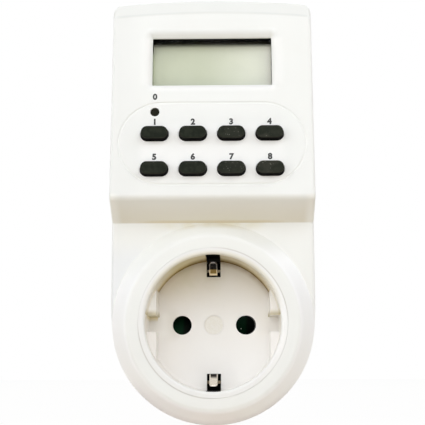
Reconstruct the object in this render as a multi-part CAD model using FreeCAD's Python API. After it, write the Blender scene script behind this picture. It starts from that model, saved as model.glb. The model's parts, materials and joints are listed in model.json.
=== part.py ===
import FreeCAD, Part
import math
import os

# Plug-in weekly timer for a round earthed socket, in millimetres.
# Every piece is drawn lying on its back: x to the right, y up the front, z out of the wall
# towards the user. The last step turns it upright, so that y becomes +Z and z becomes -Y.
# The origin is on the socket's axis, in the plane where the case meets the wall outlet.
V = FreeCAD.Vector
ACROSS = V(1, 0, 0)
OUT = V(0, 0, 1)

# Cuts run this far past the piece
past = 1.0

# Two points closer than this count as one
fine = 0.01

# A face counts as upright below the first slope and as a front surface above the second
upright_slope = 0.1
front_slope = 0.3

# Case outline
half_width = 29.8
end_ease = 0.4
end_centre_y = 0.25
flank_radius = 80.0
top_y = 96.7
top_arc_radius = 310.0
corner_radius = 3.2
case_wall = 2.0
front_draft = 0.8
back_draft = 2.0
edge_radius = 1.0
back_edge_radius = 1.5

# Depths from the wall outlet
parting_z = 12.0
socket_face_z = 39.0
low_face_drop = 3.9
head_rise = 5.6

# Head, its slanted step and the bevel at its top
head_datum_y = 36.0
head_tilt = 5.65
step_foot_y = 29.0
step_slant = 31.0
step_radius = 2.0
crease_y = 91.9
bevel_drop = 2.4
lap_height = 1.5
lap_clearance = 0.12

# Cone round the socket
cone_top_radius = 25.0
cone_foot_radius = 29.0
cone_edge_radius = 2.2

# Socket cup
mouth_radius = 19.45
recess_depth = 17.5
rim_radius = 21.26
rim_height = 2.0
rim_crest = 0.05
rim_seam = 0.05
rim_lip_radius = 0.75
rim_outer_radius = 0.04
cup_wall = 1.15
cup_clearance = 0.15
collar_wall = 1.6
floor_thickness = 1.8
pin_spacing = 19.0
pin_hole_radius = 2.85
ledge_x = 16.6
ledge_height = 10.5
ledge_gap = 4.8
earth_slot_width = 4.1
earth_slot_reach = 14.5
earth_slot_lid = 1.4
earth_pocket_depth = 0.8
earth_pocket_lid = 1.2

# Shutter behind the socket floor
chamber_depth = 5.3
shutter_gap = 0.3
shutter_arm_width = 6.4
shutter_arm_reach = 13.0
shutter_hub_radius = 3.6
shutter_ramp = 3.6
pivot_head_radius = 2.95
pivot_head_height = 1.1
pivot_radius = 1.4
pivot_clearance = 0.06
pivot_tail = 6.0
spring_wire = 0.5
spring_radius = 2.6
spring_pitch = 0.7
spring_turns = 3

# Contact carrier and the brass in it
carrier_back_z = 4.6
carrier_seat = 0.2
tower_width = 8.0
tower_wall = 1.5
sleeve_bore = 2.5
sleeve_wall = 0.6
sleeve_clearance = 0.25
sleeve_slit = 0.8
strip_thickness = 0.8
strip_z = 3.2
strip_width = 3.2
sleeve_strip_x = 12.3
busbar_x = 4.9
busbar_width = 2.6
strip_land = 4.0
lug_rim = 1.0

# Plug boss and pins
boss_radius = 18.25
boss_length = 16.8
boss_bore = 14.4
boss_end_wall = 3.0
boss_flat_x = 16.3
boss_rib_width = 4.2
boss_edge_radius = 1.0
pin_radius = 2.4
pin_length = 19.0
pin_tip_radius = 1.2
pin_shank_radius = 2.2
pin_fit = 0.05
pin_flange_radius = 3.6
pin_flange_height = 1.0

# Earth contacts
earth_strip_r = 16.6
earth_strip_width = 5.0
earth_clearance = 0.1
earth_clip_width = 2.4
earth_clip_thickness = 0.3
earth_clip_bend = 0.35
earth_bulge_r = 14.5
earth_bulge_rise = 4.5
earth_tongue_r = 17.7
earth_tongue_rise = 9.8
earth_tip_radius = 0.8

# Display, in the tilted plane of the head
window_half_width = 17.6
window_low = 33.5
window_high = 48.5
window_corner = 0.3
surround_side = 1.3
surround_low = 1.3
surround_high = 2.1
surround_depth = 1.5
surround_corner = 2.2
surround_edge_radius = 2.5
lens_thickness = 1.0
lens_margin = 1.7
glass_depth = 5.5
glass_thickness = 2.0
glass_margin = 2.2
frame_wall = 1.3
stack_clearance = 0.1
contact_strip_width = 1.6

# Keys
key_pitch = 11.06
key_columns = 4
key_row_low = 7.3
key_row_high = 17.9
key_length = 8.0
key_height = 4.1
key_corner = 1.95
key_taper = 0.22
key_rise = 2.1
key_top_radius = 0.25
key_clearance = 0.15
key_flange = 0.9
key_flange_thickness = 0.9
key_seat_gap = 0.25
key_stem_radius = 1.4
key_travel = 0.8
travel_spare = 0.1
mat_thickness = 1.1
mat_dome_radius = 2.2
mat_margin = 5.0
mat_low_margin = 4.0
reset_x = -16.6
reset_y = 24.7
reset_hole_radius = 1.35
reset_sink = 0.3
groove_inset = 2.4
groove_half_height = 12.75
groove_centre_y = 15.1
groove_width = 0.8
groove_depth = 0.18

# Boards
board_thickness = 1.6
display_board_depth = 9.3
display_board_low = 1.5
display_board_high = 54.0
board_side_gap = 3.4
board_neck_gap = 9.4
display_neck_y = 48.8
power_board_z = 4.0
power_board_low = 23.0
power_board_high = 91.0
power_wide_low = 36.0
power_wide_high = 84.0

# Screws and their posts
cover_screw_inset = 5.5
cover_screw_top_y = 88.6
cover_screw_mid_y = 31.0
cover_screw_end_inset = 4.65
cover_screw_radius = 1.3
cover_screw_head = 2.6
cover_screw_head_height = 2.0
cover_screw_seat_z = 8.0
cover_screw_bite = 8.0
screw_slot_width = 0.8
boss_post_radius = 3.0
sink_clearance = 0.3
sink_wall = 0.7
screw_clearance = 0.05
board_screw_radius = 1.0
board_screw_head = 2.0
board_screw_head_height = 1.4
board_screw_bite = 2.8
board_post_radius = 2.0
board_screw_low = 6.0
board_screw_high = 43.5
power_screw_inset = 2.6
power_screw_low = 27.0
power_screw_high = 87.5

# Parts on the power board
relay_size = (19.2, 15.6, 15.2)
relay_at = (-9.2, 38.4)
film_size = (17.5, 6.5, 12.5)
film_at = (11.6, 34.0)
can_radius = 4.0
can_height = 11.5
can_at = (14.0, 45.5)
disc_radius = 4.5
disc_thickness = 3.6
disc_at = (6.5, 53.0)
diode_radius = 1.35
diode_length = 4.6
diode_count = 4
resistor_radius = 1.15
resistor_length = 6.3
resistor_count = 3
axial_pitch = 4.4
axial_first_x = -18.0
diode_row_y = 51.0
resistor_row_y = 59.0
cell_radius = 7.75
cell_height = 6.0
can_edge_radius = 0.5
cell_at = (11.5, 71.0)
clip_strap = 0.8
clip_width = 6.0
ribbon_x = -12.0
ribbon_y = 70.0
ribbon_width = 8.0
ribbon_thickness = 0.8
ribbon_gap = 0.4
header_height = 2.5
header_depth = 3.0
header_margin = 1.0
chip_radius = 5.0
chip_height = 1.2
chip_edge_radius = 0.95
chip_at = (8.0, 20.0)
crystal_radius = 1.0
crystal_length = 6.0
crystal_at = (-4.0, 20.0)

# Values that follow from the sizes above
pin_x = pin_spacing / 2
floor_z = socket_face_z - recess_depth
floor_back_z = floor_z - floor_thickness
chamber_back_z = floor_back_z - chamber_depth
carrier_front_z = chamber_back_z - carrier_seat
low_face_z = socket_face_z - low_face_drop
cup_radius = mouth_radius + cup_wall
rim_back_z = socket_face_z - rim_height
end_radius = half_width - end_ease
boss_end_z = -boss_length
groove_half_width = half_width - groove_inset
board_wide_half = half_width - board_side_gap
board_neck_half = half_width - board_neck_gap
cover_screw_x = half_width - cover_screw_inset
cover_screw_end = (end_radius - cover_screw_end_inset) * math.sqrt(0.5)
board_screw_x = cover_screw_x
power_screw_x = board_neck_half - power_screw_inset
head_cos = math.cos(math.radians(head_tilt))
head_sin = math.sin(math.radians(head_tilt))
head_origin = V(0, head_datum_y, socket_face_z + head_rise)
stem_end = key_travel + travel_spare


def box(x0, x1, y0, y1, z0, z1):
    """A block between two corners."""
    return Part.makeBox(x1 - x0, y1 - y0, z1 - z0, V(x0, y0, z0))


def rod(radius, z0, z1, x=0.0, y=0.0):
    """A round bar along z."""
    return Part.makeCylinder(radius, z1 - z0, V(x, y, z0))


def tube(outer, inner, z0, z1, x=0.0, y=0.0):
    return rod(outer, z0, z1, x, y).cut(rod(inner, z0, z1, x, y))


def prism(wire, height):
    return Part.Face(wire).extrude(V(0, 0, height))


def stadium(length, height, z, x=0.0, y=0.0):
    """A slot-shaped outline with round ends."""
    radius = height / 2
    straight = length / 2 - radius
    right = Part.Arc(V(x + straight, y - radius, z), V(x + length / 2, y, z), V(x + straight, y + radius, z))
    left = Part.Arc(V(x - straight, y + radius, z), V(x - length / 2, y, z), V(x - straight, y - radius, z))
    top = Part.LineSegment(V(x + straight, y + radius, z), V(x - straight, y + radius, z))
    low = Part.LineSegment(V(x - straight, y - radius, z), V(x + straight, y - radius, z))
    return Part.Wire([right.toShape(), top.toShape(), left.toShape(), low.toShape()])


def rounded(length, height, corner, z, x=0.0, y=0.0):
    """A rectangle with round corners."""
    edges = []
    ends = []
    for turn in range(4):
        across = 1 if turn in (0, 3) else -1
        up = 1 if turn < 2 else -1
        centre = V(x + across * (length / 2 - corner), y + up * (height / 2 - corner), z)
        side = V(centre.x + across * corner, centre.y, z)
        peak = V(centre.x, centre.y + up * corner, z)
        start, end = (side, peak) if turn % 2 == 0 else (peak, side)
        edges.append(arc_between(centre, corner, start, end))
        ends.append((start, end))
    for turn in range(4):
        edges.append(Part.LineSegment(ends[turn - 1][1], ends[turn][0]).toShape())
    return Part.Wire(Part.__sortEdges__(edges))


def on_head(shape):
    """Moves a shape from the head's own plane, z = 0 on its face, to its place in the case."""
    placed = shape.copy()
    placed.rotate(V(0, 0, 0), ACROSS, -head_tilt)
    placed.translate(head_origin)
    return placed


def on_case_head(point):
    """A point of the case as seen in the head's own plane."""
    local = point - head_origin
    up = local.y * head_cos - local.z * head_sin
    out = local.y * head_sin + local.z * head_cos
    return V(local.x, up, out)


def mirrored(shape):
    return shape.mirror(V(0, 0, 0), ACROSS)


def fused(shapes):
    return shapes[0].multiFuse(shapes[1:]).removeSplitter()


def arc_between(centre, radius, start, end):
    """The shorter arc about a centre, between two points of the circle."""
    middle = (start + end) * 0.5 - centre
    middle.normalize()
    return Part.Arc(start, centre + middle * radius, end).toShape()


def case_outline(inset, z):
    """Outline of the case: round end, eased flanks, straight sides and an arched top."""
    side = half_width - inset
    flank = flank_radius - inset
    end = end_radius - inset
    corner = corner_radius - inset * corner_radius / (corner_radius + case_wall)
    top = top_arc_radius - inset
    ease = math.sqrt((half_width - end_radius) * (2 * flank_radius - end_radius - half_width))
    end_centre = V(0, end_centre_y, z)
    flank_centre = V(side - flank, end_centre_y + ease, z)
    top_centre = V(0, top_y - top_arc_radius, z)
    towards = end_centre - flank_centre
    towards.normalize()
    flank_start = flank_centre + towards * flank
    flank_end = V(side, flank_centre.y, z)
    corner_y = top_centre.y + math.sqrt((top - corner) ** 2 - (side - corner) ** 2)
    corner_centre = V(side - corner, corner_y, z)
    corner_start = V(side, corner_y, z)
    outward = corner_centre - top_centre
    outward.normalize()
    corner_end = top_centre + outward * top
    right = [
        arc_between(flank_centre, flank, flank_start, flank_end),
        Part.LineSegment(flank_end, corner_start).toShape(),
        arc_between(corner_centre, corner, corner_start, corner_end),
    ]
    left = [edge.mirror(V(0, 0, 0), ACROSS) for edge in right]
    crown = Part.Arc(corner_end, V(0, top_y - inset, z), V(-corner_end.x, corner_end.y, z)).toShape()
    low_point = V(0, end_centre_y - end, z)
    bottom = Part.Arc(V(-flank_start.x, flank_start.y, z), low_point, flank_start).toShape()
    return Part.Wire(Part.__sortEdges__(right + left + [crown, bottom]))


def drafted(inset, z0, z1, draft):
    """The case's outline raised from z0 to z1, leaning inwards from the parting line."""
    lean = math.tan(math.radians(draft))
    low = case_outline(inset + abs(z0 - parting_z) * lean, z0)
    high = case_outline(inset + abs(z1 - parting_z) * lean, z1)
    return Part.makeLoft([low, high], True, True)


def head_height(y):
    """Height of the head's face above the wall plane, at a height y up the front."""
    return socket_face_z + head_rise - (y - head_datum_y) * head_sin / head_cos


def front_profile(inset):
    """Side view of the low face, the slanted step and the tilted head, as a block across the case."""
    slant = math.tan(math.radians(step_slant))
    low = low_face_z - inset
    foot = step_foot_y + inset * (1 / math.cos(math.radians(step_slant)) - slant)
    fall = head_sin / head_cos
    crown = head_height(0) - inset / head_cos
    rise = (crown - low - fall * foot) / (1 + fall * slant)
    corner = V(0, foot + rise * slant, low + rise)
    reach = top_y + corner_radius
    base = parting_z
    points = [
        V(0, -2 * half_width, base),
        V(0, -2 * half_width, low),
        V(0, foot, low),
        corner,
        V(0, reach, crown - fall * reach),
        V(0, reach, base),
    ]
    face = Part.Face(Part.makePolygon(points + [points[0]]))
    face.translate(V(-2 * half_width, 0, 0))
    block = face.extrude(V(4 * half_width, 0, 0))
    crest = [e for e in block.Edges if abs(e.CenterOfMass.y - corner.y) < fine
             and abs(e.CenterOfMass.z - corner.z) < fine]
    return block.makeFillet(step_radius, crest)


def top_bevel(inset):
    """Wide cone whose edge cuts the arched crease and the bevel above it."""
    top_centre = V(0, top_y - top_arc_radius, 0)
    crease_z = head_height(crease_y) - inset
    crease_radius = crease_y - top_centre.y - inset
    run = (top_y - crease_y) / bevel_drop
    above = head_rise + low_face_drop
    below = crease_z - parting_z
    cone = Part.makeCone(crease_radius + below * run, crease_radius - above * run, below + above)
    cone.translate(top_centre + V(0, 0, parting_z))
    return cone


def socket_cone(inset):
    """Low cone that carries the socket's face above the low plane."""
    foot_z = low_face_z - inset - edge_radius
    slope = (cone_foot_radius - cone_top_radius) / low_face_drop
    foot = cone_foot_radius - inset + slope * edge_radius
    top = cone_top_radius - inset
    cone = Part.makeCone(foot, top, low_face_drop + edge_radius, V(0, 0, foot_z))
    crest = [e for e in cone.Edges if abs(e.CenterOfMass.z - foot_z - low_face_drop - edge_radius) < fine]
    return cone.makeFillet(cone_edge_radius, crest)


def rim_edges(shape, level):
    """Edges above a level where a side wall turns into a front surface."""
    found = []
    for edge in shape.Edges:
        if edge.CenterOfMass.z < level:
            continue
        tilts = []
        middle = edge.valueAt((edge.FirstParameter + edge.LastParameter) / 2)
        for face in shape.ancestorsOfType(edge, Part.Face):
            u, v = face.Surface.parameter(middle)
            tilts.append(abs(face.normalAt(u, v).z))
        if len(tilts) == 2 and min(tilts) < upright_slope and max(tilts) > front_slope:
            found.append(edge)
    return found


def front_body(inset):
    """Outer form of the front cover, or its hollow when inset by the wall."""
    blank = drafted(inset, parting_z, socket_face_z + 2 * head_rise, front_draft)
    body = blank.common(front_profile(inset)).common(top_bevel(inset))
    if inset == 0:
        body = body.makeFillet(edge_radius, rim_edges(body, parting_z + edge_radius))
    return body.fuse(socket_cone(inset).common(blank))


def cover_screw_places():
    """Centres of the screws that hold the two covers together."""
    places = []
    for side in (-1, 1):
        places.append((side * cover_screw_x, cover_screw_top_y))
        places.append((side * cover_screw_x, cover_screw_mid_y))
        places.append((side * cover_screw_end, -cover_screw_end))
    return places


def key_places():
    """Centres of the keys in the head's plane, row by row."""
    places = []
    first = -key_pitch * (key_columns - 1) / 2
    for row in (key_row_high, key_row_low):
        for column in range(key_columns):
            places.append((first + column * key_pitch, row))
    return places


def window_outline(z):
    middle = (window_low + window_high) / 2
    return rounded(2 * window_half_width, window_high - window_low, window_corner, z, 0, middle)


def with_surround(body):
    """The body with the sloping hollow round the display window, soft at its outer edge."""
    low_rim = window_low - surround_low
    high_rim = window_high + surround_high
    wide = window_half_width + surround_side
    outer = rounded(2 * wide, high_rim - low_rim, surround_corner, 0, 0, (low_rim + high_rim) / 2)
    slope = Part.makeLoft([outer, window_outline(-surround_depth)], True, True)
    body = body.cut(on_head(slope))
    rim = []
    for edge in body.Edges:
        place = on_case_head(edge.valueAt((edge.FirstParameter + edge.LastParameter) / 2))
        within = abs(place.x) < wide + past and low_rim - past < place.y < high_rim + past
        if within and abs(place.z) < fine:
            rim.append(edge)
    return body.makeFillet(surround_edge_radius, rim)


def keypad_groove():
    """Shallow rounded line that runs round the keys."""
    radius = groove_width ** 2 / (8 * groove_depth) + groove_depth / 2
    level = radius - groove_depth
    path = stadium(2 * groove_half_width - groove_width, 2 * groove_half_height - groove_width, level,
                   0, groove_centre_y)
    start = path.Edges[0].firstVertex().Point
    section = Part.Wire(Part.makeCircle(radius, start, ACROSS))
    return path.makePipeShell([section], True, False)


def board_screw_places():
    return [(side * board_screw_x, y) for side in (-1, 1) for y in (board_screw_low, board_screw_high)]


def power_screw_places():
    return [(side * power_screw_x, y) for side in (-1, 1) for y in (power_screw_low, power_screw_high)]


def front_cover():
    outer = with_surround(front_body(0))
    shell = outer.cut(front_body(case_wall))
    added = [socket_collar()]
    for x, y in cover_screw_places():
        added.append(rod(boss_post_radius, parting_z, socket_face_z + head_rise, x, y))
    for x, y in board_screw_places():
        post = rod(board_post_radius, -display_board_depth, -case_wall / 2, x, y)
        added.append(on_head(post))
    inside = fused(added).common(outer)
    shell = shell.fuse(inside)
    cuts = [rod(rim_radius + rim_seam, rim_back_z, socket_face_z + rim_crest)]
    cuts.append(rod(cup_radius + cup_clearance, parting_z, socket_face_z))
    lap = drafted(case_wall / 2, parting_z, parting_z + lap_height + lap_clearance, front_draft)
    cuts.append(lap.cut(lap_keep()))
    for x, y in cover_screw_places():
        bite = cover_screw_seat_z + cover_screw_bite + cover_screw_head
        cuts.append(rod(cover_screw_radius + screw_clearance, parting_z, bite, x, y))
    for x, y in board_screw_places():
        hole = rod(board_screw_radius + screw_clearance, -display_board_depth,
                   -display_board_depth + board_screw_bite + screw_clearance, x, y)
        cuts.append(on_head(hole))
    cuts.append(on_head(prism(window_outline(-2 * case_wall), 2 * case_wall)))
    cuts.append(on_head(keypad_groove()))
    for x, y in key_places():
        hole = key_outline(key_clearance, -2 * case_wall, x, y)
        cuts.append(on_head(prism(hole, 3 * case_wall)))
    cuts.append(on_head(rod(reset_hole_radius, -2 * case_wall, case_wall, reset_x, reset_y)))
    for cut in cuts:
        shell = shell.cut(cut)
    return shell.removeSplitter()


def socket_collar():
    """Collar inside the front cover that the socket cup slides into."""
    bore = cup_radius + cup_clearance
    return tube(bore + collar_wall, bore, low_face_z - 2 * case_wall, rim_back_z)


def lap_keep():
    """What stays of the posts where the lap joint is cut round the rim."""
    high = parting_z + 2 * lap_height
    posts = [rod(boss_post_radius, parting_z, high, x, y) for x, y in cover_screw_places()]
    return fused(posts)


def plug_boss():
    """Round plug body with side flats, guide ribs and earth grooves."""
    boss = rod(boss_radius, boss_end_z, case_wall)
    end_edges = [e for e in boss.Edges if abs(e.CenterOfMass.z - boss_end_z) < fine]
    boss = boss.makeFillet(boss_edge_radius, end_edges)
    reach = boss_radius + past
    groove_floor = earth_strip_r - earth_clearance
    half_groove = earth_strip_width / 2 + earth_clearance
    for side in (-1, 1):
        near, far = sorted((side * boss_flat_x, side * reach))
        for turn in (-1, 1):
            low, high = sorted((turn * boss_rib_width / 2, turn * reach))
            boss = boss.cut(box(near, far, low, high, boss_end_z - past, 0))
        low, high = sorted((side * groove_floor, side * reach))
        boss = boss.cut(box(-half_groove, half_groove, low, high, boss_end_z - past, 0))
    return boss


def rear_cover():
    lean = math.tan(math.radians(back_draft))
    body = drafted(0, 0, parting_z, back_draft)
    edges = [e for e in body.Edges if abs(e.BoundBox.ZMax) < fine]
    body = body.makeFillet(back_edge_radius, edges)
    hollow = drafted(case_wall + parting_z * lean, case_wall, parting_z, 0)
    shell = body.cut(hollow)
    low = parting_z - case_wall
    high = parting_z + lap_height
    tongue = drafted(case_wall / 2 + lap_clearance, low, high, front_draft)
    tongue = tongue.cut(drafted(case_wall + parting_z * lean, low, high, 0))
    shell = fused([shell, plug_boss(), tongue])
    for x, y in cover_screw_places():
        post = rod(cover_screw_head + sink_clearance + sink_wall, case_wall / 2, parting_z, x, y)
        shell = shell.fuse(post.common(body))
    for x, y in power_screw_places():
        shell = shell.fuse(rod(board_post_radius, case_wall / 2, power_board_z, x, y))
    cuts = [rod(boss_bore, boss_end_z + boss_end_wall, case_wall)]
    for side in (-1, 1):
        cuts.append(rod(pin_shank_radius + pin_fit, boss_end_z - past, 0, side * pin_x, 0))
        half_slot = earth_strip_width / 2 + earth_clearance
        low, high = sorted((side * (earth_strip_r - earth_clearance),
                            side * (earth_strip_r + strip_thickness + earth_clearance)))
        cuts.append(box(-half_slot, half_slot, low, high, -past, case_wall))
    for x, y in cover_screw_places():
        cuts.append(rod(cover_screw_head + sink_clearance, -past, cover_screw_seat_z, x, y))
        cuts.append(rod(cover_screw_radius + screw_clearance, 0, parting_z, x, y))
        cuts.append(rod(boss_post_radius + lap_clearance, parting_z, parting_z + 2 * lap_height, x, y))
    for x, y in power_screw_places():
        depth = power_board_z - board_screw_bite - screw_clearance
        cuts.append(rod(board_screw_radius + screw_clearance, depth, power_board_z, x, y))
    for cut in cuts:
        shell = shell.cut(cut)
    return shell.removeSplitter()


def socket_insert():
    crest_z = socket_face_z + rim_crest
    rim = tube(rim_radius, mouth_radius, rim_back_z, crest_z)
    for radius, rounding in ((mouth_radius, rim_lip_radius), (rim_radius, rim_outer_radius)):
        level = [e for e in rim.Edges if e.BoundBox.ZMin > crest_z - fine]
        crest = [e for e in level if abs(e.BoundBox.XMax - radius) < fine]
        rim = rim.makeFillet(rounding, crest)
    cup = tube(cup_radius, mouth_radius, chamber_back_z, rim_back_z)
    floor = rod(cup_radius, floor_back_z, floor_z)
    ledges = rod(mouth_radius + cup_wall / 2, floor_z - floor_thickness / 2, floor_z + ledge_height)
    half_gap = ledge_gap / 2
    ledges = ledges.cut(box(-ledge_x, ledge_x, -cup_radius, cup_radius, floor_back_z, socket_face_z))
    ledges = ledges.cut(box(-cup_radius, cup_radius, -half_gap, half_gap, floor_back_z, socket_face_z))
    insert = fused([rim, cup, floor, ledges])
    for side in (-1, 1):
        insert = insert.cut(rod(pin_hole_radius, floor_back_z - past, floor_z + past, side * pin_x, 0))
        low, high = sorted((side * earth_slot_reach, side * (rim_radius + past)))
        half_slot = earth_slot_width / 2
        slot_top = rim_back_z - earth_slot_lid
        insert = insert.cut(box(-half_slot, half_slot, low, high, floor_back_z - past, slot_top))
        low, high = sorted((side * earth_slot_reach, side * (mouth_radius + earth_pocket_depth)))
        pocket_top = socket_face_z - earth_pocket_lid
        insert = insert.cut(box(-half_slot, half_slot, low, high, floor_z, pocket_top))
    insert = insert.cut(rod(pivot_head_radius + pin_fit, floor_z - pivot_head_height, floor_z + past))
    insert = insert.cut(rod(pivot_radius + pin_fit, floor_back_z - past, floor_z))
    return insert.removeSplitter()


def shutter_pivot():
    """Headed pin, flush in the socket floor, that the shutter turns on."""
    head = rod(pivot_head_radius, floor_z - pivot_head_height, floor_z)
    shank = rod(pivot_radius, carrier_front_z - pivot_tail, floor_z - pivot_head_height)
    return head.fuse(shank)


def shutter():
    """Two-armed rotor whose ramps let a plug's two pins turn it aside."""
    back = chamber_back_z + shutter_gap - carrier_seat
    front = floor_back_z - shutter_gap
    hub = rod(shutter_hub_radius, back, front)
    half_arm = shutter_arm_width / 2
    arms = box(-shutter_arm_reach, shutter_arm_reach, -half_arm, half_arm, back, front)
    arms = arms.common(rod(shutter_arm_reach, back, front))
    ramp_x = shutter_hub_radius
    corner = V(ramp_x, -half_arm, front)
    foot = V(ramp_x, -half_arm, front - shutter_ramp)
    ramp = Part.Face(Part.makePolygon([corner, V(ramp_x, half_arm, front), foot, corner]))
    wedge = ramp.extrude(V(shutter_arm_reach, 0, 0))
    arms = arms.cut(wedge)
    wedge.rotate(V(0, 0, 0), OUT, 180)
    arms = arms.cut(wedge)
    rotor = hub.fuse(arms)
    return rotor.cut(rod(pivot_radius + pivot_clearance, back, front)).removeSplitter()


def shutter_spring():
    """Torsion spring round the pivot, in the carrier's pocket."""
    wire_radius = spring_wire / 2
    height = spring_pitch * spring_turns
    helix = Part.makeHelix(spring_pitch, height, spring_radius)
    start = V(spring_radius, 0, 0)
    section = Part.Wire(Part.makeCircle(wire_radius, start, V(0, 1, 0)))
    coil = Part.Wire(helix.Edges).makePipeShell([section], True, False)
    coil.translate(V(0, 0, carrier_front_z - spring_wire - height))
    return coil


def contact_carrier():
    """Dark moulding behind the shutter, with pockets for the sleeves and towers behind the earth slots."""
    disc = rod(cup_radius, carrier_back_z, carrier_front_z)
    inner = cup_radius + cup_clearance
    half_tower = tower_width / 2
    tower_top = low_face_z - 2 * case_wall
    parts = [disc]
    for side in (-1, 1):
        low, high = sorted((side * inner, side * (inner + tower_wall)))
        parts.append(box(-half_tower, half_tower, low, high, carrier_back_z, tower_top))
        low, high = sorted((side * (cup_radius - tower_wall), side * (inner + tower_wall)))
        parts.append(box(-half_tower, half_tower, low, high, carrier_back_z, carrier_front_z))
    carrier = fused(parts)
    for side in (-1, 1):
        pocket = sleeve_bore + sleeve_wall + sleeve_clearance
        carrier = carrier.cut(rod(pocket, 0, carrier_front_z, side * pin_x, 0))
        half_slot = earth_strip_width / 2 + earth_clearance
        low, high = sorted((side * (earth_strip_r - earth_clearance),
                            side * (earth_strip_r + strip_thickness + earth_clearance)))
        carrier = carrier.cut(box(-half_slot, half_slot, low, high, 0, carrier_front_z))
    spring_room = spring_radius + spring_wire / 2 + earth_clearance
    spring_depth = 2 * spring_wire + spring_pitch * spring_turns
    carrier = carrier.cut(rod(spring_room, carrier_front_z - spring_depth, carrier_front_z))
    carrier = carrier.cut(rod(pivot_radius + pin_fit, carrier_back_z, carrier_front_z))
    return carrier.removeSplitter()


def contact_sleeve():
    """Slit sleeve that grips a plug's pin, with a lug and a strip up to the power board."""
    outer = sleeve_bore + sleeve_wall
    top = carrier_front_z - shutter_gap
    lug_top = strip_z + strip_thickness
    sleeve = tube(outer, sleeve_bore, lug_top, top, pin_x, 0)
    half_slit = sleeve_slit / 2
    slit = box(-2 * outer, 2 * outer, -half_slit, half_slit, carrier_back_z, top)
    sleeve = sleeve.cut(slit.translated(V(pin_x, 0, 0)))
    lug = tube(outer + lug_rim, sleeve_bore, strip_z, lug_top, pin_x, 0)
    lug = lug.common(box(pin_x, pin_x + 2 * outer, -2 * outer, 2 * outer, strip_z, lug_top))
    left = sleeve_strip_x - strip_width / 2
    right = sleeve_strip_x + strip_width / 2
    strip = box(left, right, 0, power_board_low + strip_land, strip_z, lug_top)
    strip = strip.cut(rod(sleeve_bore, strip_z, lug_top, pin_x, 0))
    return fused([sleeve, lug, strip])


def plug_pin():
    """Solid round pin with a rounded tip, headed inside the boss."""
    inner_z = boss_end_z + boss_end_wall
    pin = rod(pin_radius, boss_end_z - pin_length, boss_end_z, pin_x, 0)
    tip = [e for e in pin.Edges if abs(e.CenterOfMass.z - boss_end_z + pin_length) < fine]
    pin = pin.makeFillet(pin_tip_radius, tip)
    shank = rod(pin_shank_radius, boss_end_z, inner_z, pin_x, 0)
    return fused([pin, shank, rod(pin_flange_radius, inner_z, inner_z + pin_flange_height, pin_x, 0)])


def busbar():
    """Bent strip from the head of a plug pin to the power board."""
    foot_z = boss_end_z + boss_end_wall + pin_flange_height
    left = busbar_x - busbar_width / 2
    right = busbar_x + busbar_width / 2
    leg_y = pin_flange_radius
    foot = box(left, pin_x, -busbar_width / 2, leg_y, foot_z, foot_z + strip_thickness)
    top = strip_z + strip_thickness
    leg = box(left, right, leg_y - strip_thickness, leg_y, foot_z, top)
    run = box(left, right, leg_y - strip_thickness, power_board_low + strip_land, strip_z, top)
    return fused([foot, leg, run])


def earth_clip():
    """Strip from the plug boss's groove to the sprung tongue inside the socket."""
    back_z = boss_end_z + boss_edge_radius
    neck_z = carrier_front_z
    half_wide = earth_strip_width / 2
    strip = box(-half_wide, half_wide, earth_strip_r, earth_strip_r + strip_thickness, back_z, neck_z)
    root_r = earth_strip_r + strip_thickness - earth_clip_thickness
    bulge_z = floor_z + earth_bulge_rise
    tongue_z = floor_z + earth_tongue_rise
    path = [V(0, root_r, neck_z), V(0, root_r, floor_back_z), V(0, earth_bulge_r, bulge_z),
            V(0, earth_tongue_r, tongue_z)]
    back = [V(0, p.y + earth_clip_thickness, p.z) for p in path]
    profile = Part.Face(Part.makePolygon(path + back[::-1] + [path[0]]))
    profile.translate(V(-earth_clip_width / 2, 0, 0))
    clip = profile.extrude(V(earth_clip_width, 0, 0))
    bends = [e for e in clip.Edges if abs(e.CenterOfMass.z - bulge_z) < fine
             and abs(e.Length - earth_clip_width) < fine]
    clip = clip.makeFillet(earth_clip_bend, bends)
    outline = prism(rounded(earth_clip_width, 2 * tongue_z, earth_tip_radius, 0), rim_radius)
    outline.rotate(V(0, 0, 0), ACROSS, -90)
    return fused([strip, clip.common(outline)])


def earth_bridge():
    """Cross strip that joins the two earth clips behind the carrier."""
    reach = earth_strip_r
    return box(-strip_width / 2, strip_width / 2, -reach, reach, strip_z, strip_z + strip_thickness)


def display_frame():
    """Dark holder that spaces the glass behind the window and stands on the board."""
    side = window_half_width + glass_margin + frame_wall
    low = window_low - glass_margin - frame_wall
    high = window_high + glass_margin + frame_wall
    block = box(-side, side, low, high, -display_board_depth, -case_wall)
    lens_side = window_half_width + lens_margin + stack_clearance
    lens_low = window_low - lens_margin - stack_clearance
    lens_high = window_high + lens_margin + stack_clearance
    lens_back = -case_wall - lens_thickness - stack_clearance
    block = block.cut(box(-lens_side, lens_side, lens_low, lens_high, lens_back, 0))
    block = block.cut(box(-window_half_width, window_half_width, window_low - stack_clearance,
                          window_high - stack_clearance, -display_board_depth, 0))
    glass_side = window_half_width + glass_margin + stack_clearance
    glass_low = window_low - glass_margin - stack_clearance
    glass_high = window_high + glass_margin + stack_clearance
    pocket = box(-glass_side, glass_side, glass_low, glass_high, -display_board_depth, -glass_depth)
    return on_head(block.cut(pocket))


def display_lens():
    side = window_half_width + lens_margin
    lens = box(-side, side, window_low - lens_margin, window_high + lens_margin,
               -case_wall - lens_thickness, -case_wall)
    return on_head(lens)


def display_glass():
    side = window_half_width + glass_margin
    low = window_low - glass_margin
    high = window_high + glass_margin
    front = box(-side, side, low, high, -glass_depth - glass_thickness / 2, -glass_depth)
    back = box(-side, side, low, high - contact_strip_width, -glass_depth - glass_thickness,
               -glass_depth - glass_thickness / 2)
    return on_head(front.fuse(back).removeSplitter())


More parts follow.
